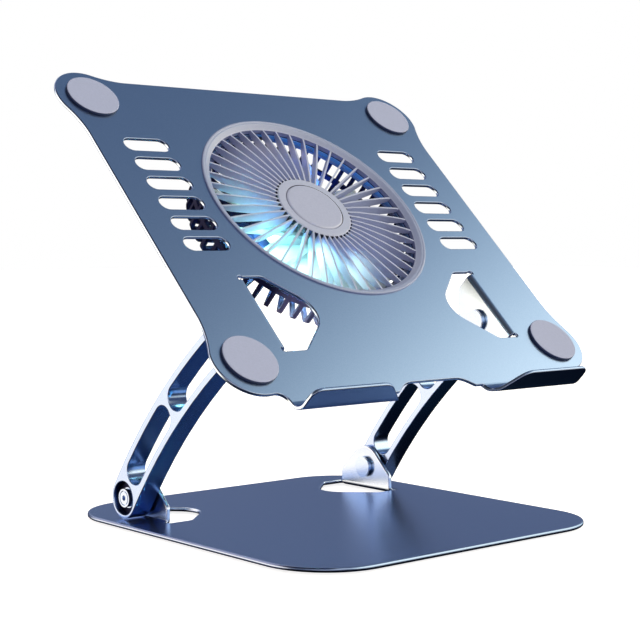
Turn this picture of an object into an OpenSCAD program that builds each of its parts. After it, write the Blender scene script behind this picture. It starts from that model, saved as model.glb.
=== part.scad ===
/* [Base] */
// Width of the base plate, side to side
base_w = 214.5; // [205:0.5:230]
// Depth of the base plate, front to back
base_d = 226; // [215:1:245]
// Corner radius of the base plate
base_r = 38; // [20:1:45]
// Thickness of the base plate
base_t = 2.5; // [2:0.1:3]
// Thickness of the rubber feet under the base
foot_t = 1.5; // [1:0.1:2.5]
// Radius of each rubber foot
foot_r = 8; // [6:0.5:9]

/* [Arms] */
// Distance between the lower and the upper hinge
arm_len = 135.8; // [130:0.1:142]
// Slope of the arms at rest, up towards the front
arm_angle = 45; // [42:0.5:48]
// Radius of the arms' curved centre line
arm_bend_r = 352; // [300:1:450]
// Width of each arm, seen from the side
arm_w = 22.5; // [21:0.1:23]
// Thickness of each arm
arm_t = 12.4; // [10:0.1:12.6]
// Width of the slots in the arms
arm_slot_w = 14.5; // [11:0.1:15]
// Distance from the middle plane to each arm's outer face
arm_outer_x = 98.5; // [97:0.1:100]

/* [Hinges] */
// Height of the lower hinge above the base plate
lower_hinge_h = 11.7; // [11.5:0.1:13]
// Depth of the lower hinge behind the middle of the base
lower_hinge_y = 62.9; // [60:0.1:66]
// Distance from the middle plane to the ears' inner faces
ear_x = 82.2; // [81.5:0.1:82.6]
// Radius of the hinge bolts' shanks
bolt_r = 4; // [3.5:0.1:4.5]
// Radial play of the hinge bolts in their holes
bolt_play = 0.06; // [0.02:0.01:0.1]

/* [Tray] */
// Slope of the tray at rest, up towards the back
tray_tilt = 44.3; // [43:0.1:46]
// Thickness of the tray's sheet
tray_t = 2; // [1.6:0.1:2.2]
// Half the distance between the side edges
tray_side = 124.9; // [123:0.1:127]
// Distance from the tray's centre to its back edge
tray_back = 112.3; // [111:0.1:114]
// Distance from the tray's centre to its front edge
tray_front = 118; // [117.5:0.1:118.3]
// Distance from the middle plane to the corner pads' centres
pad_x = 110; // [109:0.1:111]
// Distance from the tray's centre line to the corner pads' centres
pad_y = 97; // [96.5:0.1:97.5]
// Radius of the corner lobes around the pads
lobe_r = 21.4; // [21:0.1:22]
// Radius of the corner pads
pad_r = 15.2; // [14:0.1:16]
// Thickness of the corner pads
pad_t = 1.9; // [1.5:0.1:2.5]
// Height of the front stops above the tray
lip_h = 16.8; // [14:0.1:18]
// Slots along each side of the tray
slot_count = 6; // [4:1:6]

/* [Fan] */
// Distance from the tray's centre to the fan's centre
fan_y = 14.3; // [13.5:0.1:15]
// Vanes in the top grille
vane_count = 44; // [24:1:44]
// Thickness of each vane
vane_t = 1.1; // [0.8:0.1:1.3]
// Depth of each vane
vane_h = 6; // [4:0.5:6.5]
// Ribs in the fan's lower basket
rib_count = 50; // [30:1:50]
// Thickness of each basket rib
rib_t = 2.4; // [1.2:0.1:3]
// Blades on the impeller
blade_count = 11; // [7:1:13]
// Height of each light package on the light board
led_h = 1.2; // [0.8:0.1:1.4]

/* [Hidden] */
$fn = 72;

blue_metal = [0.42, 0.50, 0.64];
base_top = foot_t + base_t;
low_y = lower_hinge_y;
low_z = base_top + lower_hinge_h;
top_y = low_y - arm_len * cos(arm_angle);
top_z = low_z + arm_len * sin(arm_angle);
arm_in_x = arm_outer_x - arm_t;
head_x = arm_outer_x - 5.9;

// The tray's own frame: origin on its top face, y up the slope.
tray_pin_y = -65.8;
tray_pin_z = -14.6;

// Centre of the circle that the arms' centre line follows.
arm_rise = sqrt(arm_bend_r * arm_bend_r - arm_len * arm_len / 4);
arc_y = (low_y + top_y) / 2 - arm_rise * sin(arm_angle);
arc_z = (low_z + top_z) / 2 - arm_rise * cos(arm_angle);
arc_half = asin(arm_len / 2 / arm_bend_r);
arc_mid = 90 - arm_angle;

// Front stop: bend radii and the place of the bend.
bend_in = 6.3;
bend_out = bend_in + tray_t;
lip_y = -132;
bend_y = lip_y + bend_out;
lip_out = 99.8;

// Fan: radii and levels below the tray's top face.
hole_r = 68;
ring_r = 70.7;
ring_in = 65.4;
hub_r = 23.3;
basket_r = 67.2;
basket_z = -33;
seat_z = -28.6;
wall_lo = -8;
band_lo = -20.2;
band_hi = -17.4;
blade_tip = 58.5;

function unit(v) = v / norm(v);
function arc(c, r, a0, a1, n) =
    [for (i = [0:n]) c + r * [cos(a0 + (a1 - a0) * i / n), sin(a0 + (a1 - a0) * i / n)]];
function corner(p0, p1, p2, r, n) = r <= 0 ? [p1] :
    let (a = unit(p0 - p1), b = unit(p2 - p1),
         half = acos(max(-1, min(1, a * b))) / 2,
         c = p1 + unit(a + b) * r / sin(half),
         t0 = p1 + a * r / tan(half), t1 = p1 + b * r / tan(half),
         s0 = atan2(t0[1] - c[1], t0[0] - c[0]),
         s1 = atan2(t1[1] - c[1], t1[0] - c[0]),
         ds = ((s1 - s0 + 540) % 360) - 180)
    [for (i = [0:n]) c + r * [cos(s0 + ds * i / n), sin(s0 + ds * i / n)]];
function rounded(p, r, n = 8) =
    [for (i = [0:len(p) - 1])
        each corner(p[(i - 1 + len(p)) % len(p)], p[i], p[(i + 1) % len(p)], r[i], n)];
function flip(p) = [for (i = [len(p) - 1:-1:0]) [-p[i][0], p[i][1]]];

// Outline of the tray, seen square on. A lobe stands out at each corner and
// runs into the straight edges through a wide hollow curve.
back_f = 54;
side_f = 60;
out_f = 6;
back_cx = pad_x - sqrt(pow(lobe_r + back_f, 2) - pow(pad_y - tray_back - back_f, 2));
back_a = atan2(tray_back + back_f - pad_y, back_cx - pad_x);
side_cy = pad_y - sqrt(pow(lobe_r + side_f, 2) - pow(tray_side + side_f - pad_x, 2));
side_a = atan2(side_cy - pad_y, tray_side + side_f - pad_x);
out_cy = -pad_y - sqrt(pow(lobe_r + out_f, 2) - pow(lip_out + out_f - pad_x, 2));
out_a = atan2(out_cy + pad_y, lip_out + out_f - pad_x);
half_outline = concat(
    [[0, tray_back]],
    arc([back_cx, tray_back + back_f], back_f, 270, back_a + 180, 10),
    arc([pad_x, pad_y], lobe_r, back_a, side_a, 36),
    arc([tray_side + side_f, side_cy], side_f, side_a + 180, 180, 10),
    arc([tray_side + side_f, -side_cy], side_f, 180, 180 - side_a, 10),
    arc([pad_x, -pad_y], lobe_r, -side_a, out_a, 34),
    arc([lip_out + out_f, out_cy], out_f, out_a + 180, 180, 10),
    [[lip_out, -138], [36.6, -138], [36.2, -132], [35.1, -129.6], [33.4, -128], [31.3, -126.1]],
    corner([31.3, -126.1], [20.2, -tray_front], [0, -tray_front], 14, 12),
    [[0, -tray_front]]);
tray_outline = concat(half_outline, flip([for (i = [1:len(half_outline) - 2]) half_outline[i]]));
lip_face = rounded([[32, -3], [35.4, 2.4], [49.6, lip_h], [99.3, lip_h], [100.6, -3]],
    [0, 14, 12, 5.5, 0], 12);
tray_window = rounded([[90, -40.6], [70.5, -40.6], [42.6, -66.3], [70.5, -92], [90, -92]],
    [0, 5, 14.6, 5, 0]);
tray_ear = rounded([[-42.2, 0], [-42.2, -12], [tray_pin_y, -34.4], [-89.4, -12], [-89.4, 0]],
    [0, 4, 14, 4, 0]);
base_window = [for (p = tray_window) [p[0], p[1] + 66.3 + low_y]];
base_ear = rounded([[low_y - 22.3, base_top - 1], [low_y - 22.3, base_top + 8.1],
    [low_y, base_top + 30.2], [low_y + 22.3, base_top + 8.1], [low_y + 22.3, base_top - 1]],
    [0, 4, 13.2, 4, 0]);

module both_sides() { children(); mirror([1, 0, 0]) children(); }
// Lays a flat shape drawn as (Y, Z) upright, from x to x + t.
module upright(x, t) { translate([x, 0, 0]) rotate([90, 0, 90]) linear_extrude(t) children(); }
module in_tray() {
    translate([0, top_y, top_z]) rotate([tray_tilt, 0, 0])
        translate([0, -tray_pin_y, -tray_pin_z]) children();
}
module at_fan() { in_tray() translate([0, fan_y, 0]) children(); }
module ring(ro, ri, h) { difference() { cylinder(r = ro, h = h); translate([0, 0, -1]) cylinder(r = ri, h = h + 2); } }
// A pin along X at (y, z), from x0 to x1.
module cross_pin(y, z, r, x0, x1) { translate([x0, y, z]) rotate([0, 90, 0]) cylinder(r = r, h = x1 - x0); }
module slot_2d(w, h) { hull_x = w / 2 - h / 2;
    square([2 * hull_x, h], center = true);
    translate([hull_x, 0]) circle(r = h / 2); translate([-hull_x, 0]) circle(r = h / 2); }
module soft_square(w, d, r) {
    square([w - 2 * r, d], center = true); square([w, d - 2 * r], center = true);
    for (x = [-1, 1], y = [-1, 1]) translate([x * (w / 2 - r), y * (d / 2 - r)]) circle(r = r);
}

module base_plate() {
    color(blue_metal) difference() {
        union() {
            difference() {
                translate([0, 0, foot_t]) linear_extrude(base_t) soft_square(base_w, base_d, base_r);
                both_sides() intersection() {
                    translate([0, 0, -1]) linear_extrude(12) polygon(base_window);
                    translate([0, 0, -1]) cube([ear_x + base_t + 1, 200, 12]);
                }
                both_sides() for (y = [low_y - 24, low_y + 24])
                    translate([ear_x + base_t + 0.4, y, 0]) cylinder(r = 1.7, h = 10);
            }
            both_sides() {
                upright(ear_x, base_t) intersection() {
                    polygon(base_ear);
                    translate([0, base_top + 1]) square([200, 60]);
                }
                difference() {
                    translate([ear_x + base_t + 1, low_y + 22.3, base_top + 1]) rotate([90, 0, 0])
                        ring(base_t + 1, 1, 44.6);
                    translate([ear_x + base_t + 1, 0, -5]) cube([20, 120, 30]);
                    translate([ear_x - 10, 0, base_top + 1]) cube([30, 120, 30]);
                }
            }
        }
        both_sides() cross_pin(low_y, low_z, bolt_r + bolt_play, ear_x - 5, ear_x + 10);
    }
}

module base_feet() {
    color([0.25, 0.27, 0.32]) for (x = [-1, 1], p = [[78, -89], [64, 96.5]])
        translate([x * p[0], p[1], 0]) cylinder(r = foot_r, h = foot_t);
}

// One hinge bolt along X: head in the arm's counterbore, shank through arm
// and ear, thread in the nut behind the ear.
module hinge_bolt(y, z) {
    color([0.62, 0.66, 0.74]) difference() {
        union() {
            cross_pin(y, z, 5.7, head_x, head_x + 2.6);
            cross_pin(y, z, 5.1, head_x + 2.5, arm_outer_x - 0.5);
            cross_pin(y, z, bolt_r, ear_x - 0.2, head_x + 0.1);
            cross_pin(y, z, 3, ear_x - 1.8, ear_x - 0.1);
        }
        difference() {
            cross_pin(y, z, 4.2, arm_outer_x - 1.1, arm_outer_x);
            cross_pin(y, z, 3.6, arm_outer_x - 2, arm_outer_x + 1);
        }
        translate([arm_outer_x - 2.7, y, z]) rotate([0, 90, 0]) cylinder(r = 1.7, h = 5, $fn = 6);
    }
}
module hinge_nut(y, z) {
    color([0.70, 0.73, 0.80]) difference() {
        union() {
            cross_pin(y, z, 6.6, ear_x - 2.2, ear_x - 0.3);
            cross_pin(y, z, 6.2, ear_x - 2.5, ear_x - 2.1);
        }
        cross_pin(y, z, 3.05, ear_x - 1.9, ear_x + 1);
    }
}
// Friction washer between the ear and the arm, and a collar round the bolt's head.
module hinge_washer(y, z, r, x0, x1) {
    color([0.16, 0.18, 0.22]) {
        difference() {
            cross_pin(y, z, r, x0, x1);
            cross_pin(y, z, bolt_r + bolt_play, x0 - 1, x1 + 1);
        }
        difference() {
            cross_pin(y, z, 9.1, head_x, head_x + 2.3);
            cross_pin(y, z, 5.8, head_x - 1, head_x + 4);
        }
    }
}
module lower_pivot_bolts() { both_sides() hinge_bolt(low_y, low_z); }
module lower_pivot_nuts() { both_sides() hinge_nut(low_y, low_z); }
module lower_washers() { both_sides() hinge_washer(low_y, low_z, 9.6, ear_x + base_t, arm_in_x - 0.3); }
module upper_pivot_bolts() { both_sides() hinge_bolt(top_y, top_z); }
module upper_pivot_nuts() { both_sides() hinge_nut(top_y, top_z); }
module upper_washers() { both_sides() hinge_washer(top_y, top_z, 11.1, ear_x + tray_t + 0.3, arm_in_x - 0.3); }

// A stretch of the curved arm: w wide, from angle a0 to a1 about the arc centre.
module arc_bar(w, a0, a1, t) {
    rotate([0, 0, a0]) rotate_extrude(angle = a1 - a0)
        translate([arm_bend_r - w / 2, 0]) square([w, t]);
    for (a = [a0, a1]) rotate([0, 0, a]) translate([arm_bend_r, 0, 0]) cylinder(r = w / 2, h = t);
}
function along(s) = arc_mid - arc_half + s / arm_bend_r * 180 / PI;
arc_len = 2 * arc_half * PI / 180 * arm_bend_r;
module arm() {
    color([0.55, 0.62, 0.74]) translate([arm_in_x, arc_y, arc_z]) rotate([90, 0, 90]) difference() {
        arc_bar(arm_w, along(0), along(arc_len), arm_t);
        translate([0, 0, -1]) arc_bar(arm_slot_w, along(19.6), along(61), arm_t + 2);
        translate([0, 0, -1]) arc_bar(arm_slot_w, along(78.8), along(arc_len - 19.6), arm_t + 2);
        for (a = [along(0), along(arc_len)]) rotate([0, 0, a]) translate([arm_bend_r, 0, 0]) {
            translate([0, 0, -1]) cylinder(r = bolt_r + bolt_play, h = arm_t + 2);
            translate([0, 0, arm_t - 6.2]) cylinder(r = 9.4, h = 7);
        }
    }
}
module right_arm() { arm(); }
module left_arm() { mirror([1, 0, 0]) arm(); }

module front_lip() {
    intersection() {
        translate([30, 0, 0]) rotate([90, 0, 90]) linear_extrude(70) {
            intersection() {
                translate([bend_y, bend_in]) difference() { circle(r = bend_out); circle(r = bend_in); }
                translate([lip_y - 1, -tray_t - 1]) square([bend_y - lip_y + 1, bend_in + tray_t + 1]);
            }
            translate([lip_y, bend_in]) square([tray_t, lip_h - bend_in]);
        }
        translate([0, 0, -5]) linear_extrude(30) polygon(tray_outline);
        translate([0, bend_y + 1, 0]) rotate([90, 0, 0]) linear_extrude(12) polygon(lip_face);
    }
}
module tray_plate() {
    pitch = 15.24;
    color(blue_metal) in_tray() difference() {
        union() {
            difference() {
                translate([0, 0, -tray_t]) linear_extrude(tray_t) intersection() {
                    polygon(tray_outline);
                    translate([-150, bend_y]) square([300, 260]);
                }
                translate([0, fan_y, -5]) cylinder(r = hole_r, h = 10);
                both_sides() {
                    for (i = [0:slot_count - 1])
                        translate([92.6, 59.7 - i * pitch, -5]) linear_extrude(10) slot_2d(28.2, 9.7);
                    intersection() {
                        translate([0, 0, -5]) linear_extrude(10) polygon(tray_window);
                        translate([0, -150, -5]) cube([ear_x + tray_t + 1, 150, 12]);
                    }
                    for (y = [-41.4, -90.6]) translate([ear_x + tray_t + 0.2, y, -5])
                        cylinder(r = 1.6, h = 10);
                }
            }
            both_sides() {
                front_lip();
                upright(ear_x, tray_t) intersection() {
                    polygon(tray_ear);
                    translate([-150, -60 - tray_t - 1]) square([150, 60]);
                }
                difference() {
                    translate([ear_x + tray_t + 1, -42.2, -tray_t - 1]) rotate([90, 0, 0])
                        ring(tray_t + 1, 1, 47.2);
                    translate([ear_x + tray_t + 1, -120, -20]) cube([20, 100, 30]);
                    translate([ear_x - 10, -120, -tray_t - 31]) cube([30, 100, 30]);
                }
            }
        }
        both_sides() cross_pin(tray_pin_y, tray_pin_z, bolt_r + bolt_play, ear_x - 5, ear_x + 10);
    }
}
module tray_pads() {
    color([0.70, 0.71, 0.79]) in_tray() for (x = [-pad_x, pad_x], y = [-pad_y, pad_y])
        translate([x, y, 0]) cylinder(r = pad_r, h = pad_t);
}

// Studs welded under the tray; the basket's flange hangs on them.
stud_at = [for (a = [45:90:315]) [72.6 * cos(a), 72.6 * sin(a)]];
module fan_studs() {
    color([0.75, 0.77, 0.82]) at_fan() for (p = stud_at)
        translate([p[0], p[1], -tray_t - 6]) cylinder(r = 1.25, h = 6);
}
module fan_nuts() {
    color([0.72, 0.74, 0.79]) at_fan() for (p = stud_at)
        translate([p[0], p[1], -tray_t - 4.4]) difference() {
            cylinder(r = 2.6, h = 2.2, $fn = 6);
            translate([0, 0, -1]) cylinder(r = 1.27, h = 5);
        }
}

// Thin bars pointing at the axis, n of them, t thick, from r0 to r1.
module spokes_2d(n, t, r0, r1) {
    for (i = [0:n - 1]) rotate(i * 360 / n) translate([r0, -t / 2]) square([r1 - r0, t]);
}
module fan_grille() {
    color([0.69, 0.70, 0.80]) at_fan() {
        // Flange on the tray, sloped lip and the skirt inside the hole.
        rotate_extrude() polygon([[ring_in, -4.2], [67.6, -4.2], [67.6, 0], [ring_r, 0],
            [ring_r, 0.55], [ring_r - 0.3, 1], [ring_r - 0.8, 1.15], [ring_r - 1.3, 1.05],
            [ring_r - 1.7, 0.75], [68.7, 0.75], [68.1, 0.6], [67.6, 0.25], [ring_in, -1.6]]);
        intersection() {
            rotate_extrude() polygon([[hub_r - 0.6, -1.5 - vane_h], [44, -6.7], [58, -5.5], [63.5, -4.4],
                [63.5, -4.1], [ring_in + 0.4, -4.1], [ring_in + 0.4, -1.75], [60, -1.3], [44, -0.9], [30, -1.2], [hub_r - 0.6, -1.9]]);
            translate([0, 0, -12]) linear_extrude(12) spokes_2d(vane_count, vane_t, hub_r - 2, ring_in + 2);
        }
        // Hub disc with a skirt and a recess for the cap.
        rotate_extrude() polygon([[0, -5], [hub_r - 1.6, -5], [hub_r - 1.6, -5.6], [hub_r, -5.6], [hub_r, -2],
            [hub_r - 0.5, -1.5], [18.2, -1.5], [18.2, -2.6], [0, -2.6]]);
    }
}
module grille_cap() {
    color([0.73, 0.74, 0.82]) at_fan() rotate_extrude()
        polygon([[0, -2.6], [17.9, -2.6], [17.9, -1.8], [17.3, -1.2], [16.4, -0.9], [0, -0.9]]);
}

// Lower half of the fan's case. Ribs run down from a solid wall, turn in and
// reach the motor's seat; rings tie them.
rib_shell = concat(
    [[basket_r, wall_lo + 0.5]],
    arc([basket_r - 5, basket_z + 5], 5, 0, -90, 8),
    [[24, basket_z], [24, basket_z + 2.4]],
    arc([basket_r - 5, basket_z + 5], 2.6, -90, 0, 8),
    [[basket_r - 2.4, wall_lo + 0.5]]);
module fan_basket() {
    color([0.17, 0.20, 0.30]) at_fan() difference() {
        union() {
            // Flange under the tray and the solid upper wall.
            rotate_extrude() polygon([[67.8, -tray_t - 0.1], [76.5, -tray_t - 0.1], [76.5, -tray_t - 2.1],
                [basket_r + 0.6, -tray_t - 2.1], [basket_r, -tray_t - 3], [basket_r, wall_lo],
                [basket_r - 2.6, wall_lo], [basket_r - 3.2, wall_lo + 0.2], [basket_r - 3.2, wall_lo + 0.8],
                [basket_r - 2, wall_lo + 0.8], [basket_r - 2, -4.4], [67.8, -4.4]]);
            translate([0, 0, band_lo]) ring(basket_r, basket_r - 2.2, band_hi - band_lo);
            intersection() {
                rotate_extrude() polygon(rib_shell);
                translate([0, 0, basket_z - 1]) linear_extrude(30)
                    rotate(126 / rib_count) spokes_2d(rib_count, rib_t, 23, basket_r + 1);
            }
            // Tie rings.
            for (r = [36, 47.5]) translate([0, 0, basket_z]) ring(r + 1, r - 1, 2.2);
            // Motor seat and bearing tube.
            translate([0, 0, basket_z]) cylinder(r = 26.5, h = seat_z - basket_z);
            translate([0, 0, seat_z - 0.4]) cylinder(r = 5.2, h = 14.5);
        }
        translate([0, 0, seat_z - 1.4]) cylinder(r = 4.05, h = 30);
        for (p = stud_at) translate([p[0], p[1], -10]) cylinder(r = 1.4, h = 12);
        // Way out for the lead, at the back.
        translate([-2.2, basket_r - 4, -8.6]) cube([4.4, 8, 3.4]);
    }
}
module motor_cover() {
    color([0.60, 0.63, 0.72]) at_fan() translate([0, 0, basket_z - 0.8])
        rotate_extrude() polygon([[0, 0.8], [22, 0.8], [22, 0.3], [21.5, 0], [0, 0]]);
}

// Board with the light packages, on a ledge inside the case's wall.
module light_board() {
    color([0.82, 0.85, 0.88]) at_fan() {
        difference() {
            translate([0, 0, wall_lo + 0.85]) ring(65.1, 62, 0.8);
            translate([-1.6, 61.5, wall_lo]) cube([3.2, 5, 3]);
        }
        for (i = [0:17]) rotate(i * 20) translate([62.2, -1.7, wall_lo + 1.55]) cube([1.7, 3.4, 0.1 + led_h]);
    }
}
// Clear ring over the lights.
module light_ring() {
    color([0.45, 0.85, 0.95]) at_fan() difference() {
        rotate_extrude() polygon([[64, wall_lo + 1.65], [65.1, wall_lo + 1.65], [65.1, -4.5], [64, -4.5]]);
        translate([-1.6, 62, wall_lo]) cube([3.2, 5, 2.4]);
    }
}

module stator_core() {
    color([0.50, 0.52, 0.55]) at_fan() translate([0, 0, -25]) linear_extrude(7) {
        difference() { circle(r = 8); circle(r = 5.25); }
        for (i = [0:8]) rotate(i * 40) { translate([7.5, -1.2]) square([6.8, 2.4]);
            intersection() { difference() { circle(r = 15.8); circle(r = 14); }
                polygon([[0, 0], [17, -5], [17, 5]]); } }
    }
}
module stator_coils() {
    color([0.72, 0.42, 0.20]) at_fan() for (i = [0:8]) rotate(i * 40)
        translate([8.8, 0, -21.5]) difference() {
            translate([0, -2.6, -5]) cube([4.6, 5.2, 10]);
            translate([-1, -1.25, -3.55]) cube([7, 2.5, 7.1]);
        }
}
module motor_board() {
    color([0.10, 0.35, 0.22]) at_fan() {
        translate([0, 0, -28.6]) ring(15.5, 5.3, 1.2);
        translate([10.5, -2, -27.5]) cube([3, 4, 0.9]);
        translate([-14.5, -1.5, -27.5]) cube([3, 3, 0.9]);
        translate([-1.6, 12, -27.5]) cube([3.2, 2, 0.8]);
    }
}
module motor_bearings() {
    color([0.75, 0.77, 0.80]) at_fan() for (z = [-28.8, -18.4]) translate([0, 0, z]) ring(4, 1.55, 3);
}
module motor_shaft() {
    color([0.80, 0.81, 0.83]) at_fan() difference() {
        translate([0, 0, -29.6]) cylinder(r = 1.5, h = 19);
        translate([0, 0, -29.25]) ring(3, 1.1, 0.42);
    }
}
// Keeper in the shaft's groove under the lower bearing.
module shaft_clip() {
    color([0.35, 0.36, 0.38]) at_fan() translate([0, 0, -29.22]) ring(2.9, 1.12, 0.34);
}
module rotor_cup() {
    color([0.60, 0.62, 0.66]) at_fan() difference() {
        rotate_extrude() polygon([[0, -13.4], [1.48, -13.4], [1.48, -13.9], [18.7, -13.9], [18.7, -26], [19.7, -26],
            [19.7, -12.9], [0, -12.9]]);
        translate([0, 0, -20]) cylinder(r = 1.5, h = 20);
    }
}
module rotor_magnet() {
    color([0.22, 0.22, 0.24]) at_fan() translate([0, 0, -25.8]) ring(18.68, 16.4, 10);
}
// Impeller: a cup-shaped hub that carries pitched, swept blades.
module impeller() {
    color([0.80, 0.90, 0.96]) at_fan() difference() {
        union() {
            rotate_extrude() polygon([[0, -12.88], [19.72, -12.88], [19.72, -26.2], [21.6, -26.2],
                [21.6, -11.4], [20.4, -10.2], [0, -10.2]]);
            intersection() {
                translate([0, 0, -26.4]) ring(blade_tip, 20.5, 15.6);
                for (i = [0:blade_count - 1]) rotate(i * 360 / blade_count)
                    translate([0, 5, -18.6]) rotate([38, 0, 12]) translate([15, -16, -0.7]) cube([50, 32, 1.4]);
            }
        }
        translate([0, 0, -20]) cylinder(r = 1.5, h = 9.4);
    }
}

// Short lead from the control housing to the motor board, held along its route.
lead_path = [[0, 14.2, -26.65], [0, 15.8, -26.65], [0, 17.2, -27], [0, 19, -27.45], [0, 24, -27.8], [0, 27.6, -27.8],
    [0, 31, -28.6], [0, 34.4, -29.5], [0, 38, -29.7], [0, 55, -29.7], [0, 58.6, -29.4], [0, 61.2, -28.2], [0, 62.7, -26], [0, 63.1, -23], [0, 63.1, -18], [0, 63.1, -12],
    [0, 63.1, -9.7], [0, 63.6, -8.4], [0, 64.8, -7.1], [0, 67, -6.7], [0, 72, -6.7], [0, 78, -6.6], [0, 81.4, -6.4]];
function tube_points(path, r, n) = [for (i = [0:len(path) - 1])
    let (a = path[max(0, i - 1)], b = path[min(len(path) - 1, i + 1)], d = unit(b - a),
         v = cross(d, [1, 0, 0]))
    for (k = [0:n - 1]) path[i] + r * (cos(k * 360 / n) * [1, 0, 0] + sin(k * 360 / n) * v)];
function tube_faces(m, n) = concat([[for (k = [0:n - 1]) k]],
    [for (i = [0:m - 2], k = [0:n - 1])
        [i * n + k, (i + 1) * n + k, (i + 1) * n + (k + 1) % n, i * n + (k + 1) % n]],
    [[for (k = [n - 1:-1:0]) (m - 1) * n + k]]);
module fan_lead() {
    color([0.12, 0.12, 0.14]) at_fan()
        polyhedron(points = tube_points(lead_path, 0.7, 8), faces = tube_faces(len(lead_path), 8));
}

// Control housing under the back edge: shell, lid, board, inlet and button.
pod_y0 = 92;
pod_y1 = 108.6;
module control_housing() {
    color([0.17, 0.20, 0.30]) in_tray() difference() {
        translate([0, (pod_y0 + pod_y1) / 2, -tray_t - 9]) linear_extrude(9) soft_square(46, pod_y1 - pod_y0, 3);
        difference() {
            translate([0, (pod_y0 + pod_y1) / 2, -tray_t - 10]) linear_extrude(8.8)
                soft_square(42, pod_y1 - pod_y0 - 4, 1.5);
            for (x = [-18, 18]) translate([x, (pod_y0 + pod_y1) / 2, -tray_t - 8.1])
                cylinder(r = 2.3, h = 9);
        }
        for (x = [-18, 18]) translate([x, (pod_y0 + pod_y1) / 2, -tray_t - 9]) cylinder(r = 1.02, h = 4);
        translate([-9, pod_y1 - 4, -7.05]) rotate([-90, 0, 0]) linear_extrude(6) slot_2d(9.3, 3.6);
        translate([9, pod_y1 - 4, -7.8]) rotate([-90, 0, 0]) linear_extrude(8) slot_2d(6.2, 3.5);
        translate([-1.4, pod_y0 - 2, -8]) cube([2.8, 5, 2.8]);
    }
}
module control_lid() {
    color([0.17, 0.20, 0.30]) in_tray() difference() {
        union() {
            translate([0, (pod_y0 + pod_y1) / 2, -tray_t - 10.4]) linear_extrude(1.35) soft_square(46, pod_y1 - pod_y0, 3);
            translate([0, (pod_y0 + pod_y1) / 2, -tray_t - 9.1]) linear_extrude(0.9) soft_square(41.7, pod_y1 - pod_y0 - 4.3, 1.4);
        }
        for (x = [-18, 18]) translate([x, (pod_y0 + pod_y1) / 2, -13]) { cylinder(r = 1.1, h = 6); cylinder(r = 2.1, h = 1.6); }
    }
}
module control_screws() {
    color([0.70, 0.72, 0.76]) in_tray() for (x = [-18, 18]) translate([x, (pod_y0 + pod_y1) / 2, 0]) difference() {
        union() { translate([0, 0, -12.4]) cylinder(r = 2, h = 0.98); translate([0, 0, -11.5]) cylinder(r = 1, h = 4.2); }
        translate([0, 0, -13]) cylinder(r = 0.9, h = 1.2, $fn = 6);
    }
}
module control_board() {
    color([0.10, 0.35, 0.22]) in_tray() {
        translate([-15, pod_y0 + 2.6, -5.4]) cube([30, pod_y1 - pod_y0 - 5.2, 1.2]);
        translate([6.2, pod_y1 - 8.9, -10]) cube([5.6, 3.4, 4.7]);
        translate([8, pod_y1 - 5.6, -8.8]) cube([2, 0.7, 2]);
        translate([-3, pod_y0 + 6, -6.4]) cube([4.4, 4.4, 1.1]);
    }
}
module usb_inlet() {
    color([0.78, 0.80, 0.84]) in_tray() {
        translate([-9, pod_y1 - 8.4, -7.05]) rotate([-90, 0, 0]) difference() {
            linear_extrude(8) slot_2d(9, 3.3);
            translate([0, 0, 1]) linear_extrude(8) slot_2d(8.4, 2.7);
        }
        translate([-12.3, pod_y1 - 7.5, -7.35]) cube([6.6, 6.6, 0.6]);
    }
}
module speed_button() {
    color([0.62, 0.66, 0.76]) in_tray() {
        translate([9, pod_y1 - 2.6, -7.8]) rotate([-90, 0, 0]) linear_extrude(4.1) slot_2d(6, 3.3);
        translate([9, pod_y1 - 3.5, -7.8]) rotate([-90, 0, 0]) linear_extrude(1.2) slot_2d(7, 4.2);
    }
}

base_plate();
base_feet();
lower_pivot_bolts();
lower_pivot_nuts();
lower_washers();
left_arm();
right_arm();
upper_pivot_bolts();
upper_pivot_nuts();
upper_washers();
tray_plate();
tray_pads();
fan_studs();
fan_nuts();
fan_grille();
grille_cap();
fan_basket();
motor_cover();
light_board();
light_ring();
stator_core();
stator_coils();
motor_board();
motor_bearings();
motor_shaft();
shaft_clip();
rotor_cup();
rotor_magnet();
impeller();
fan_lead();
control_housing();
control_lid();
control_board();
usb_inlet();
speed_button();
control_screws();
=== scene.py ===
import bpy, bmesh, math
import numpy as np
from mathutils import Vector, Matrix


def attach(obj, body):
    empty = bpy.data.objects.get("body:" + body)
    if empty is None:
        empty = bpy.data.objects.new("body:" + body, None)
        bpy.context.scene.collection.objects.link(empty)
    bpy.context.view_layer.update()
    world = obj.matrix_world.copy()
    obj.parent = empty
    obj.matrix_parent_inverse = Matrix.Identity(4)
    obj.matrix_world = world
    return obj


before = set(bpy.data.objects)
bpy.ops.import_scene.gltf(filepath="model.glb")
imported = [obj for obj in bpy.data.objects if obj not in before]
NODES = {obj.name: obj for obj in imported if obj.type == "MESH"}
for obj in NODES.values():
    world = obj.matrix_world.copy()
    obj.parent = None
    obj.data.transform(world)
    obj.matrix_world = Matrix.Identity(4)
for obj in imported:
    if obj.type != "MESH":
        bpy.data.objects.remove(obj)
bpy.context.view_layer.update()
MM = 0.001


# ---------------------------------------------------------------- materials
def new_mat(name):
    m = bpy.data.materials.new(name)
    m.use_nodes = True
    nt = m.node_tree
    return m, nt, nt.nodes["Principled BSDF"]


def N(nt, kind, **props):
    n = nt.nodes.new(kind)
    for k, v in props.items():
        setattr(n, k, v)
    return n


def ramp(nt, src, stops):
    r = N(nt, "ShaderNodeValToRGB")
    el = r.color_ramp.elements
    el[0].position, el[0].color = stops[0][0], stops[0][1]
    el[1].position, el[1].color = stops[-1][0], stops[-1][1]
    for p, c in stops[1:-1]:
        e = el.new(p)
        e.color = c
    nt.links.new(src, r.inputs["Fac"])
    return r


def grey(v):
    return (v, v, v, 1)


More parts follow.
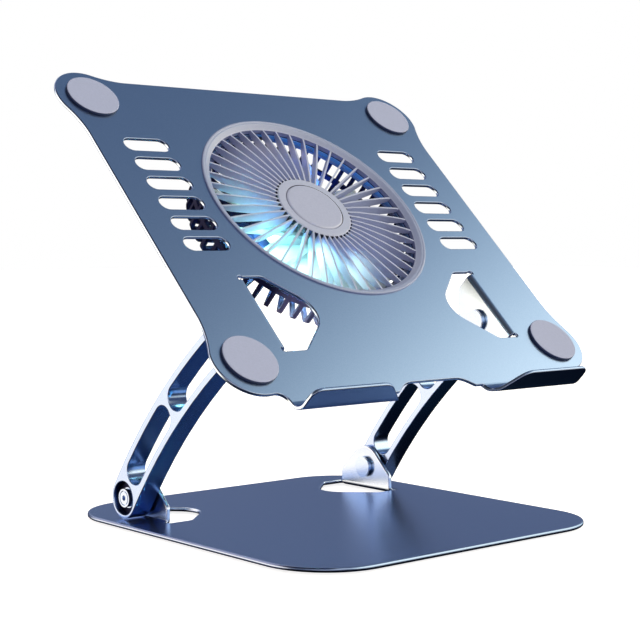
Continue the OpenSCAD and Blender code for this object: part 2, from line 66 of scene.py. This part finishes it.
def grain(nt, bsdf, scale, strength, dist=0.00002, rough=(0.34, 0.42), detail=2.0):
    """Fine bump and matching roughness, in the piece's own coordinates."""
    tc = N(nt, "ShaderNodeTexCoord")
    no = N(nt, "ShaderNodeTexNoise")
    no.inputs["Scale"].default_value = scale
    no.inputs["Detail"].default_value = detail
    nt.links.new(tc.outputs["Object"], no.inputs["Vector"])
    b = N(nt, "ShaderNodeBump")
    b.inputs["Strength"].default_value = strength
    b.inputs["Distance"].default_value = dist
    nt.links.new(no.outputs["Fac"], b.inputs["Height"])
    nt.links.new(b.outputs["Normal"], bsdf.inputs["Normal"])
    if rough[0] == rough[1]:
        bsdf.inputs["Roughness"].default_value = rough[0]
        return tc, no, no
    n2 = N(nt, "ShaderNodeTexNoise")
    n2.inputs["Scale"].default_value = 28
    n2.inputs["Detail"].default_value = 3
    nt.links.new(tc.outputs["Object"], n2.inputs["Vector"])
    r = ramp(nt, n2.outputs["Fac"], [(0.3, grey(rough[0])), (0.7, grey(rough[1]))])
    nt.links.new(r.outputs["Color"], bsdf.inputs["Roughness"])
    return tc, no, n2


def anodised(name, c0, c1, rough=(0.34, 0.42), scale=1500, strength=0.25, tint=(0.6, 0.68, 0.8, 1), metallic=1.0):
    m, nt, b = new_mat(name)
    b.inputs["Metallic"].default_value = metallic
    b.inputs["Specular Tint"].default_value = tint
    tc, no, n2 = grain(nt, b, scale, strength, rough=rough)
    r = ramp(nt, no.outputs["Fac"], [(0.3, (*c0, 1)), (0.7, (*c1, 1))])
    nt.links.new(r.outputs["Color"], b.inputs["Base Color"])
    return m


def plastic(name, c0, c1, rough=(0.42, 0.52), scale=900, strength=0.15, spec=0.5):
    m, nt, b = new_mat(name)
    b.inputs["Specular IOR Level"].default_value = spec
    tc, no, n2 = grain(nt, b, scale, strength, rough=rough)
    r = ramp(nt, no.outputs["Fac"], [(0.3, (*c0, 1)), (0.7, (*c1, 1))])
    nt.links.new(r.outputs["Color"], b.inputs["Base Color"])
    return m


def side_fac(nt, axis, lo, hi):
    """0 where a face looks away from axis, 1 where it looks along it, in the piece's own frame."""
    tc = N(nt, "ShaderNodeTexCoord")
    d = N(nt, "ShaderNodeVectorMath", operation="DOT_PRODUCT")
    d.inputs[1].default_value = Vector(axis).normalized()
    nt.links.new(tc.outputs["Normal"], d.inputs[0])
    mr = N(nt, "ShaderNodeMapRange", interpolation_type="SMOOTHSTEP")
    mr.inputs["From Min"].default_value = lo
    mr.inputs["From Max"].default_value = hi
    nt.links.new(d.outputs["Value"], mr.inputs["Value"])
    return mr.outputs["Result"]


def painted_facing_shade(mat, axis, lo, hi, factor):
    """Painted shade: multiplies a material's colour by factor on faces that look away from axis."""
    nt = mat.node_tree
    b = nt.nodes["Principled BSDF"]
    src = b.inputs["Base Color"].links[0].from_socket
    mx = N(nt, "ShaderNodeMix", data_type="RGBA", blend_type="MULTIPLY")
    mx.inputs["Factor"].default_value = 1.0
    two = N(nt, "ShaderNodeValToRGB")
    two.color_ramp.elements[0].color = (*factor, 1)
    two.color_ramp.elements[1].color = (1, 1, 1, 1)
    nt.links.new(side_fac(nt, axis, lo, hi), two.inputs["Fac"])
    nt.links.new(src, mx.inputs["A"])
    nt.links.new(two.outputs["Color"], mx.inputs["B"])
    nt.links.new(mx.outputs["Result"], b.inputs["Base Color"])
    return mat


def along_point(nt, axis, origin, lo, hi):
    """0 below lo and 1 above hi, in metres along axis from origin, in the piece's own frame."""
    tc = N(nt, "ShaderNodeTexCoord")
    sub = N(nt, "ShaderNodeVectorMath", operation="SUBTRACT")
    sub.inputs[1].default_value = origin
    nt.links.new(tc.outputs["Object"], sub.inputs[0])
    d = N(nt, "ShaderNodeVectorMath", operation="DOT_PRODUCT")
    d.inputs[1].default_value = Vector(axis).normalized()
    nt.links.new(sub.outputs["Vector"], d.inputs[0])
    mr = N(nt, "ShaderNodeMapRange", interpolation_type="SMOOTHSTEP")
    mr.inputs["From Min"].default_value = lo
    mr.inputs["From Max"].default_value = hi
    nt.links.new(d.outputs["Value"], mr.inputs["Value"])
    return mr.outputs["Result"]


def painted_light_and_shade(mat, factor, *conds):
    """Painted light and shade: multiplies a material's colour by factor where every condition, 0 to 1, holds."""
    nt = mat.node_tree
    b = nt.nodes["Principled BSDF"]
    fac = None
    for kind, *args in conds:
        c = (side_fac if kind == "face" else along_point)(nt, *args)
        if fac is None:
            fac = c
            continue
        mul = N(nt, "ShaderNodeMath", operation="MULTIPLY")
        nt.links.new(fac, mul.inputs[0])
        nt.links.new(c, mul.inputs[1])
        fac = mul.outputs["Value"]
    two = N(nt, "ShaderNodeValToRGB")
    two.color_ramp.elements[0].color = (1, 1, 1, 1)
    two.color_ramp.elements[1].color = (*factor, 1)
    nt.links.new(fac, two.inputs["Fac"])
    mx = N(nt, "ShaderNodeMix", data_type="RGBA", blend_type="MULTIPLY")
    mx.inputs["Factor"].default_value = 1.0
    nt.links.new(b.inputs["Base Color"].links[0].from_socket, mx.inputs["A"])
    nt.links.new(two.outputs["Color"], mx.inputs["B"])
    nt.links.new(mx.outputs["Result"], b.inputs["Base Color"])
    return mat


TILT = Vector((0, -0.69841529, 0.71569273))
SLOPE = Vector((0, 0.71569273, 0.69841529))
FAN = Vector((0, 0.014005, 0.178117))


def in_fan(x, y, z):
    """A point in the fan's frame, in mm, as a point in the part's frame, in m."""
    return FAN + MM * (Vector((x, 0, 0)) + y * SLOPE + z * TILT)


def painted_shade_band(mat, lo, hi, factor, sides_only=False):
    """Painted shade: multiplies a material's colour by factor beyond a radius round the fan's axis (inside it, if lo
    > hi).
    """
    nt = mat.node_tree
    b = nt.nodes["Principled BSDF"]
    src = b.inputs["Base Color"].links[0].from_socket
    tc = N(nt, "ShaderNodeTexCoord")
    sub = N(nt, "ShaderNodeVectorMath", operation="SUBTRACT")
    sub.inputs[1].default_value = FAN
    nt.links.new(tc.outputs["Object"], sub.inputs[0])
    cr = N(nt, "ShaderNodeVectorMath", operation="CROSS_PRODUCT")
    cr.inputs[1].default_value = TILT
    nt.links.new(sub.outputs["Vector"], cr.inputs[0])
    ln = N(nt, "ShaderNodeVectorMath", operation="LENGTH")
    nt.links.new(cr.outputs["Vector"], ln.inputs[0])
    mr = N(nt, "ShaderNodeMapRange")
    mr.inputs["From Min"].default_value = lo
    mr.inputs["From Max"].default_value = hi
    nt.links.new(ln.outputs["Value"], mr.inputs["Value"])
    fac = mr.outputs["Result"]
    if sides_only:
        inv = N(nt, "ShaderNodeMath", operation="SUBTRACT")
        inv.inputs[0].default_value = 1.0
        nt.links.new(side_fac(nt, TILT, 0.2, 0.75), inv.inputs[1])
        mul = N(nt, "ShaderNodeMath", operation="MULTIPLY")
        nt.links.new(fac, mul.inputs[0])
        nt.links.new(inv.outputs["Value"], mul.inputs[1])
        fac = mul.outputs["Value"]
    two = N(nt, "ShaderNodeValToRGB")
    two.color_ramp.elements[0].color = (1, 1, 1, 1)
    two.color_ramp.elements[1].color = (*factor, 1)
    nt.links.new(fac, two.inputs["Fac"])
    mx = N(nt, "ShaderNodeMix", data_type="RGBA", blend_type="MULTIPLY")
    mx.inputs["Factor"].default_value = 1.0
    nt.links.new(src, mx.inputs["A"])
    nt.links.new(two.outputs["Color"], mx.inputs["B"])
    nt.links.new(mx.outputs["Result"], b.inputs["Base Color"])


LEFT = (-1, 0, 0)
FRONT = (0, -1, 0)
# the base below 2.7 mm, where painted shade darkens it near the floor
BASE_SHADE_ZONE = ("point", (0, 0, -1), (0, 0, 0.0027), -0.0002, 0.0002)

M_PLATE = anodised("anodised_plate", (0.335, 0.455, 0.690), (0.375, 0.495, 0.730), rough=(0.275, 0.275), strength=0.08, tint=(0.52, 0.62, 0.82, 1))
# painted highlight on faces that look left: the ears' inner faces, the windows' slanting walls, and the right stop's
# outer wall, brighter still from 18 mm below the fan's plane upward
painted_light_and_shade(M_PLATE, (1.22, 1.22, 1.2), ("face", LEFT, 0.8, 0.95))
painted_light_and_shade(M_PLATE, (1.45, 1.38, 1.15), ("face", LEFT, 0.8, 0.95), ("point", TILT, FAN, -0.018, -0.006))
# painted shade on faces that look left, back and up
painted_light_and_shade(M_PLATE, (0.14, 0.17, 0.26), ("face", (-0.81, 0.415, 0.405), 0.86, 0.94))
# painted shade on walls that face down the slope, right of the middle and above the fan
painted_light_and_shade(M_PLATE, (0.30, 0.27, 0.27), ("face", -SLOPE, 0.7, 0.9), ("point", TILT, FAN, 0.001, 0.003), ("point", (1, 0, 0), (0, 0, 0), 0.01, 0.03))
M_BASE = anodised("anodised_base", (0.365, 0.475, 0.700), (0.405, 0.515, 0.740), rough=(0.25, 0.25), strength=0.08, tint=(0.52, 0.62, 0.82, 1))
# painted shade on the base's sides and underside near the floor
painted_light_and_shade(M_BASE, (0.06, 0.08, 0.16), ("face", (0, 0, -1), -0.8, -0.5), BASE_SHADE_ZONE)
# painted highlight on left-facing faces low on the base, below 10 mm
painted_light_and_shade(M_BASE, (1.24, 1.22, 1.14), ("face", LEFT, 0.8, 0.95), ("point", (0, 0, -1), (0, 0, 0.034), 0.0, 0.024))
# painted shade on the front-facing faces at the base's front edge
painted_light_and_shade(M_BASE, (0.68, 0.73, 0.78), ("face", FRONT, 0.5, 0.9), ("point", FRONT, (0, 0, 0), 0.05, 0.08))
# painted shade: walls facing forward and down, the front and slot walls, are darkened, the right arm's much more than
# the left's
M_ARM, M_ARM_R = (painted_facing_shade(anodised(n, (0.330, 0.450, 0.700), (0.370, 0.490, 0.740), rough=(0.20, 0.25), strength=0.1, tint=(0.52, 0.62, 0.82, 1)), (0, 1, 1), -0.95, -0.45, f)
                  for n, f in (("anodised_arm_left", (0.42, 0.55, 0.74)), ("anodised_arm_right", (0.20, 0.19, 0.21))))
# lighter, glossier bevels: painted highlight along the plate's edges
M_EDGE = anodised("plate_edge", (0.42, 0.52, 0.76), (0.46, 0.56, 0.80), rough=(0.20, 0.26), strength=0.05, tint=(0.6, 0.7, 0.85, 1))
# painted shade on bevels facing forward, left-forward-up and left-up
painted_light_and_shade(M_EDGE, (0.42, 0.44, 0.50), ("face", FRONT, 0.55, 0.85))
painted_light_and_shade(M_EDGE, (0.20, 0.23, 0.32), ("face", (-0.707, -0.494, 0.506), 0.90, 0.96))
painted_light_and_shade(M_EDGE, (0.20, 0.23, 0.32), ("face", (-0.574, -0.2, 0.794), 0.95, 0.98))
# lighter, glossier bevels on the base: painted highlight along its rim
M_RIM = anodised("base_rim", (0.50, 0.60, 0.82), (0.55, 0.65, 0.86), rough=(0.20, 0.26), strength=0.05, tint=(0.6, 0.7, 0.85, 1))
# painted shade on the rim near the floor, on the lower left bevels and on the front-facing bevels
painted_light_and_shade(M_RIM, (0.06, 0.08, 0.16), BASE_SHADE_ZONE)
painted_light_and_shade(M_RIM, (0.30, 0.32, 0.42), ("face", LEFT, 0.15, 0.45), ("point", LEFT, (0, 0, 0), 0.088, 0.094))
painted_light_and_shade(M_RIM, (0.50, 0.57, 0.66), ("face", FRONT, 0.3, 0.6), ("point", FRONT, (0, 0, 0), 0.05, 0.08))
M_BOLT = anodised("hinge_steel", (0.38, 0.50, 0.72), (0.42, 0.55, 0.78), rough=(0.16, 0.22), strength=0.1, tint=(1, 1, 1, 1))
M_STEEL = anodised("turned_steel", (0.62, 0.64, 0.69), (0.70, 0.72, 0.77), rough=(0.22, 0.3), tint=(1, 1, 1, 1))
# near-black washers: painted shade in the arms' counterbores
M_WASHER_SHADE = anodised("washer_painted_shade", (0.012, 0.014, 0.032), (0.018, 0.020, 0.042), rough=(0.30, 0.4), tint=(0.4, 0.45, 0.7, 1))
# painted shadow: the pads' side walls are darkened to near navy
M_PAD = painted_facing_shade(plastic("pad_silicone", (0.37, 0.425, 0.66), (0.40, 0.455, 0.70), rough=(0.55, 0.65)), TILT, 0.35, 0.8, (0.05, 0.08, 0.16))
# painted shade on the sides of the button and the grille's cap
M_PLASTIC = painted_facing_shade(plastic("light_plastic", (0.41, 0.46, 0.68), (0.45, 0.50, 0.72), rough=(0.34, 0.42)), TILT, 0.2, 0.75, (0.66, 0.70, 0.84))
# painted shade: a warmer, dimmer tone on faces that look up the fan's axis
M_GRILLE = painted_facing_shade(plastic("grille_plastic", (0.43, 0.50, 0.79), (0.47, 0.54, 0.83), rough=(0.34, 0.42)), -TILT, -0.75, -0.2, (0.97, 0.95, 0.88))
# painted shade on the outer ring
painted_shade_band(M_GRILLE, 0.0650, 0.0662, (0.72, 0.76, 0.83))
# painted shadow: near-black sides of the hub's skirt
painted_shade_band(M_GRILLE, 0.0246, 0.0239, (0.03, 0.035, 0.06), sides_only=True)
# painted shade: vane sides darker towards the rim
painted_shade_band(M_GRILLE, 0.044, 0.066, (0.52, 0.52, 0.62), sides_only=True)
M_COPPER = anodised("enamelled_wire", (0.50, 0.22, 0.08), (0.62, 0.30, 0.12), rough=(0.3, 0.4), tint=(1, 0.8, 0.6, 1))
M_BASKET = plastic("basket_plastic", (0.230, 0.220, 0.430), (0.260, 0.250, 0.470), rough=(0.5, 0.6), spec=0.03)
# painted shade: darker away from the case's lower end
painted_light_and_shade(M_BASKET, (0.05, 0.065, 0.14), ("point", SLOPE, FAN, -0.056, -0.046))
M_RUBBER = plastic("foot_rubber", (0.02, 0.022, 0.03), (0.03, 0.033, 0.042), rough=(0.7, 0.8))
M_DARK = plastic("lead_rubber", (0.012, 0.014, 0.02), (0.02, 0.022, 0.03))
M_PCB = plastic("solder_mask", (0.01, 0.10, 0.05), (0.015, 0.14, 0.07), rough=(0.3, 0.4))


def translucent(name, c0, c1, share):
    """Milky plastic that lets light through."""
    m = plastic(name, c0, c1, rough=(0.30, 0.38))
    nt = m.node_tree
    b = nt.nodes["Principled BSDF"]
    out = nt.nodes["Material Output"]
    t = N(nt, "ShaderNodeBsdfTranslucent")
    nt.links.new(b.inputs["Base Color"].links[0].from_socket, t.inputs["Color"])
    mx = N(nt, "ShaderNodeMixShader")
    mx.inputs[0].default_value = share
    nt.links.new(b.outputs[0], mx.inputs[1])
    nt.links.new(t.outputs[0], mx.inputs[2])
    nt.links.new(mx.outputs[0], out.inputs["Surface"])
    return m


def glowing(name, c0, c1, colour, strength):
    m = plastic(name, c0, c1, rough=(0.30, 0.38))
    b = m.node_tree.nodes["Principled BSDF"]
    b.inputs["Emission Color"].default_value = (*colour, 1)
    b.inputs["Emission Strength"].default_value = strength
    return m


M_BLADE = translucent("blade_plastic", (0.66, 0.76, 0.82), (0.72, 0.82, 0.88), 0.45)
def glow_painted_along(mat, strength, *cond):
    """Emission that fades in along a direction: painted glow on one side of a part."""
    nt = mat.node_tree
    mr = N(nt, "ShaderNodeMath", operation="MULTIPLY")
    mr.inputs[1].default_value = strength
    nt.links.new(along_point(nt, *cond), mr.inputs[0])
    nt.links.new(mr.outputs["Value"], nt.nodes["Principled BSDF"].inputs["Emission Strength"])
    return mat


# The LED ring and its board glow blue, partly the LEDs' own light; the fade towards LIT, one side of the fan only, is
# painted light.
LIT = 0.64 * Vector((1, 0, 0)) + 0.77 * SLOPE
M_LED = glow_painted_along(glowing("lit_ring", (0.05, 0.10, 0.26), (0.07, 0.13, 0.30), (0.04, 0.26, 0.9), 0.25), 0.26, LIT, FAN, 0.040, 0.058)
M_LEDBOARD = glow_painted_along(glowing("lit_board", (0.05, 0.07, 0.18), (0.07, 0.09, 0.22), (0.04, 0.26, 0.9), 0.12), 0.12, LIT, FAN, 0.040, 0.058)


def give(name, *mats):
    o = NODES[name]
    o.data.materials.clear()
    for m in mats:
        o.data.materials.append(m)


def crisp(name, width, segments=2, mat=None, angle=32, planar=1.2, clamp=True):
    """Small bevels on a CAD node's sharp edges, as a modifier."""
    o = NODES[name]
    o.data.polygons.foreach_set("use_smooth", [True] * len(o.data.polygons))
    w = o.modifiers.new("weld", "WELD")
    w.merge_threshold = 0.000004
    if planar:
        d = o.modifiers.new("planar", "DECIMATE")
        d.decimate_type = "DISSOLVE"
        d.angle_limit = math.radians(planar)
    b = o.modifiers.new("bevel", "BEVEL")
    b.width = width
    b.segments = segments
    b.limit_method = "ANGLE"
    b.angle_limit = math.radians(angle)
    b.use_clamp_overlap = clamp
    b.miter_outer = "MITER_ARC" if segments > 1 else "MITER_SHARP"
    if mat is not None:
        b.material = mat
    wn = o.modifiers.new("normals", "WEIGHTED_NORMAL")
    wn.keep_sharp = False
    wn.weight = 100


give("base_plate", M_BASE, M_RIM)
give("tray_plate", M_PLATE, M_EDGE)
give("left_arm", M_ARM, M_EDGE)
give("right_arm", M_ARM_R, M_EDGE)
for n in NODES:
    if n.startswith(("lower_pivot", "upper_pivot")):
        give(n, M_BOLT)
    if n.startswith(("fan_studs", "fan_nuts", "control_screws", "motor_shaft", "motor_bearings", "rotor_cup", "stator_core", "shaft_clip", "usb_inlet", "rotor_magnet")):
        give(n, M_STEEL)
for n in ("tray_pads",):
    give(n, M_PAD)
give("fan_grille", M_GRILLE)
for n in ("fan_basket", "control_housing", "control_lid", "motor_cover"):
    give(n, M_BASKET)
for n in ("base_feet",):
    give(n, M_RUBBER)
for n in ("fan_lead",):
    give(n, M_DARK)
for n in ("lower_washers", "upper_washers"):
    give(n, M_WASHER_SHADE)
for n in ("motor_board", "control_board"):
    give(n, M_PCB)
for n in ("speed_button", "grille_cap"):
    give(n, M_PLASTIC)
give("stator_coils", M_COPPER)
give("light_board", M_LEDBOARD)
give("light_ring", M_LED)
give("impeller", M_BLADE)

crisp("tray_plate", 0.0006, 2, 1, clamp=False)
crisp("base_plate", 0.0009, 3, 1, clamp=False)
crisp("left_arm", 0.0006, 2, clamp=False)
crisp("right_arm", 0.0006, 2, clamp=False)
crisp("tray_pads", 0.0006, 3)
crisp("fan_grille", 0.0002, 1)
crisp("grille_cap", 0.0008, 3)

# ---------------------------------------------------------------- floor, light, camera
bpy.context.scene.view_settings.view_transform = "Standard"

mesh = bpy.data.meshes.new("floor")
mesh.from_pydata([(-6, -6, 0), (6, -6, 0), (6, 6, 0), (-6, 6, 0)], [], [(0, 1, 2, 3)])
floor = bpy.data.objects.new("floor", mesh)
bpy.context.scene.collection.objects.link(floor)
m, nt, b = new_mat("floor_white")
b.inputs["Base Color"].default_value = (0.8, 0.8, 0.8, 1)
b.inputs["Roughness"].default_value = 1.0
b.inputs["Emission Color"].default_value = (1, 1, 1, 1)
b.inputs["Emission Strength"].default_value = 0.86
floor.data.materials.append(m)
floor.visible_glossy = False
floor.visible_diffuse = False
floor.visible_transmission = False

# Soft studio light: a few wide lobes around the object, white behind it.
world = bpy.data.worlds.new("studio")
bpy.context.scene.world = world
world.use_nodes = True
wt = world.node_tree
wt.nodes.clear()
w_out = N(wt, "ShaderNodeOutputWorld")
w_tc = N(wt, "ShaderNodeTexCoord")
w_sum = None


def along(direction):
    d = N(wt, "ShaderNodeVectorMath", operation="DOT_PRODUCT")
    d.inputs[1].default_value = Vector(direction).normalized()
    wt.links.new(w_tc.outputs["Generated"], d.inputs[0])
    return d.outputs["Value"]


def between(src, lo, hi, kind="SMOOTHSTEP"):
    mr = N(wt, "ShaderNodeMapRange", interpolation_type=kind)
    mr.inputs["From Min"].default_value = lo
    mr.inputs["From Max"].default_value = hi
    wt.links.new(src, mr.inputs["Value"])
    return mr.outputs["Result"]


def lobe(direction, stops, gain=1.0, mask=None):
    """Adds light as a colour ramp over the cosine to a direction, inside a mask."""
    global w_sum
    r = ramp(wt, between(along(direction), -1, 1, "LINEAR"), [((p + 1) / 2, (*c, 1)) for p, c in stops])
    g = N(wt, "ShaderNodeVectorMath", operation="SCALE")
    g.inputs["Scale"].default_value = gain
    wt.links.new(r.outputs["Color"], g.inputs[0])
    out = g.outputs["Vector"]
    if mask is not None:
        k = N(wt, "ShaderNodeVectorMath", operation="SCALE")
        wt.links.new(out, k.inputs[0])
        wt.links.new(between(along(mask[0]), mask[1], mask[2]), k.inputs["Scale"])
        out = k.outputs["Vector"]
    if w_sum is not None:
        add = N(wt, "ShaderNodeVectorMath", operation="ADD")
        wt.links.new(w_sum, add.inputs[0])
        wt.links.new(out, add.inputs[1])
        out = add.outputs["Vector"]
    w_sum = out


UP = (0, 0, 1)
OFF = (0, 0, 0)
# even navy-blue surround, near black below
lobe(UP, [(-1, (0.014, 0.02, 0.034)), (-0.45, (0.013, 0.02, 0.034)), (-0.12, (0.11, 0.125, 0.18)), (0.1, (0.28, 0.29, 0.35)), (0.32, (0.28, 0.29, 0.34)), (0.7, (0.140, 0.195, 0.268)), (1, (0.17, 0.22, 0.29))])
# right, towards the front
lobe((0.8, -0.6, 0), [(0.49, OFF), (0.54, (0.04, 0.05, 0.05)), (0.575, (0.18, 0.21, 0.18)), (0.61, (0.46, 0.47, 0.36)), (0.65, (0.82, 0.76, 0.57)), (0.71, (1, 0.88, 0.60)), (1, (1, 0.88, 0.60))], 2.6, (UP, -0.22, 0.12))
# left, towards the back
lobe((-0.70, 0.71, -0.05), [(0.76, OFF), (0.90, (0.9, 0.70, 0.50)), (1, (1, 0.78, 0.56))], 2.4)
# from the viewer's side, and high behind
lobe((-0.55, -0.65, 0.52), [(0.70, OFF), (0.9, (1, 0.85, 0.7)), (1, (1, 0.85, 0.7))], 1.25)
lobe((-0.04, 0.76, 0.64), [(0.84, OFF), (0.95, (1, 0.85, 0.7)), (1, (1, 0.85, 0.7))], 1.6)
# two faint ones below
lobe((0.40, -0.30, -0.87), [(0.95, OFF), (0.985, (0.005, 0.03, 0.13)), (1, (0.005, 0.03, 0.15))], 1.0)
lobe((0.60, 0.20, -0.78), [(0.97, OFF), (1, (0.03, 0.09, 0.12))], 1.0)

# dark high on the left
w_dim = N(wt, "ShaderNodeVectorMath", operation="SCALE")
wt.links.new(w_sum, w_dim.inputs[0])
w_gap = N(wt, "ShaderNodeMapRange", interpolation_type="SMOOTHSTEP")
w_gap.inputs["From Min"].default_value = 0.72
w_gap.inputs["From Max"].default_value = 0.9
w_gap.inputs["To Min"].default_value = 1.0
w_gap.inputs["To Max"].default_value = 0.1
wt.links.new(along((-0.57, -0.09, 0.82)), w_gap.inputs["Value"])
wt.links.new(w_gap.outputs["Result"], w_dim.inputs["Scale"])
w_sum = w_dim.outputs["Vector"]

w_env = N(wt, "ShaderNodeBackground")
wt.links.new(w_sum, w_env.inputs["Color"])
w_white = N(wt, "ShaderNodeBackground")
w_white.inputs["Color"].default_value = (1, 1, 1, 1)
w_lp = N(wt, "ShaderNodeLightPath")
w_mix = N(wt, "ShaderNodeMixShader")
wt.links.new(w_lp.outputs["Is Camera Ray"], w_mix.inputs[0])
wt.links.new(w_env.outputs[0], w_mix.inputs[1])
wt.links.new(w_white.outputs[0], w_mix.inputs[2])
wt.links.new(w_mix.outputs[0], w_out.inputs["Surface"])


def lamp(name, at, colour, power, size, spread=110):
    """A round panel light inside the fan's case, carried by the tray, facing up through the blades."""
    l = bpy.data.lights.new(name, "AREA")
    l.shape = "DISK"
    l.color = colour
    l.energy = power
    l.size = size
    l.spread = math.radians(spread)
    o = bpy.data.objects.new(name, l)
    o.matrix_world = Matrix.Translation(at) @ TILT.to_track_quat("Z", "Y").to_matrix().to_4x4() @ Matrix.Rotation(math.pi, 4, "X")
    bpy.context.scene.collection.objects.link(o)
    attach(o, "tray")
    return o


MINT = (0.68, 1.0, 0.80)
lamp("fan_light_a", in_fan(-34, 0, -28.2), (0.38, 1.0, 0.72), 0.130, 0.022)
lamp("fan_light_b", in_fan(-36, -20, -28.2), (0.50, 1.0, 0.76), 0.120, 0.024)
lamp("fan_light_c", in_fan(-22, -36, -28.2), MINT, 0.055, 0.022)
lamp("fan_light_d", in_fan(36, 42, -28.2), (0.05, 0.30, 1.0), 0.014, 0.018)


cam_d = bpy.data.cameras.new("camera")
cam_d.lens = 84.80
cam_d.sensor_width = 36
cam_d.clip_start = 0.01
cam = bpy.data.objects.new("camera", cam_d)
bpy.context.scene.collection.objects.link(cam)
cam.matrix_world = Matrix.Translation((-0.554238, -0.635998, 0.159031)) @ Matrix((
    (0.759228, 0.034684, -0.649900), (-0.650825, 0.041113, -0.758114), (0.000425, 0.998552, 0.053788))).to_4x4()
bpy.context.scene.camera = cam
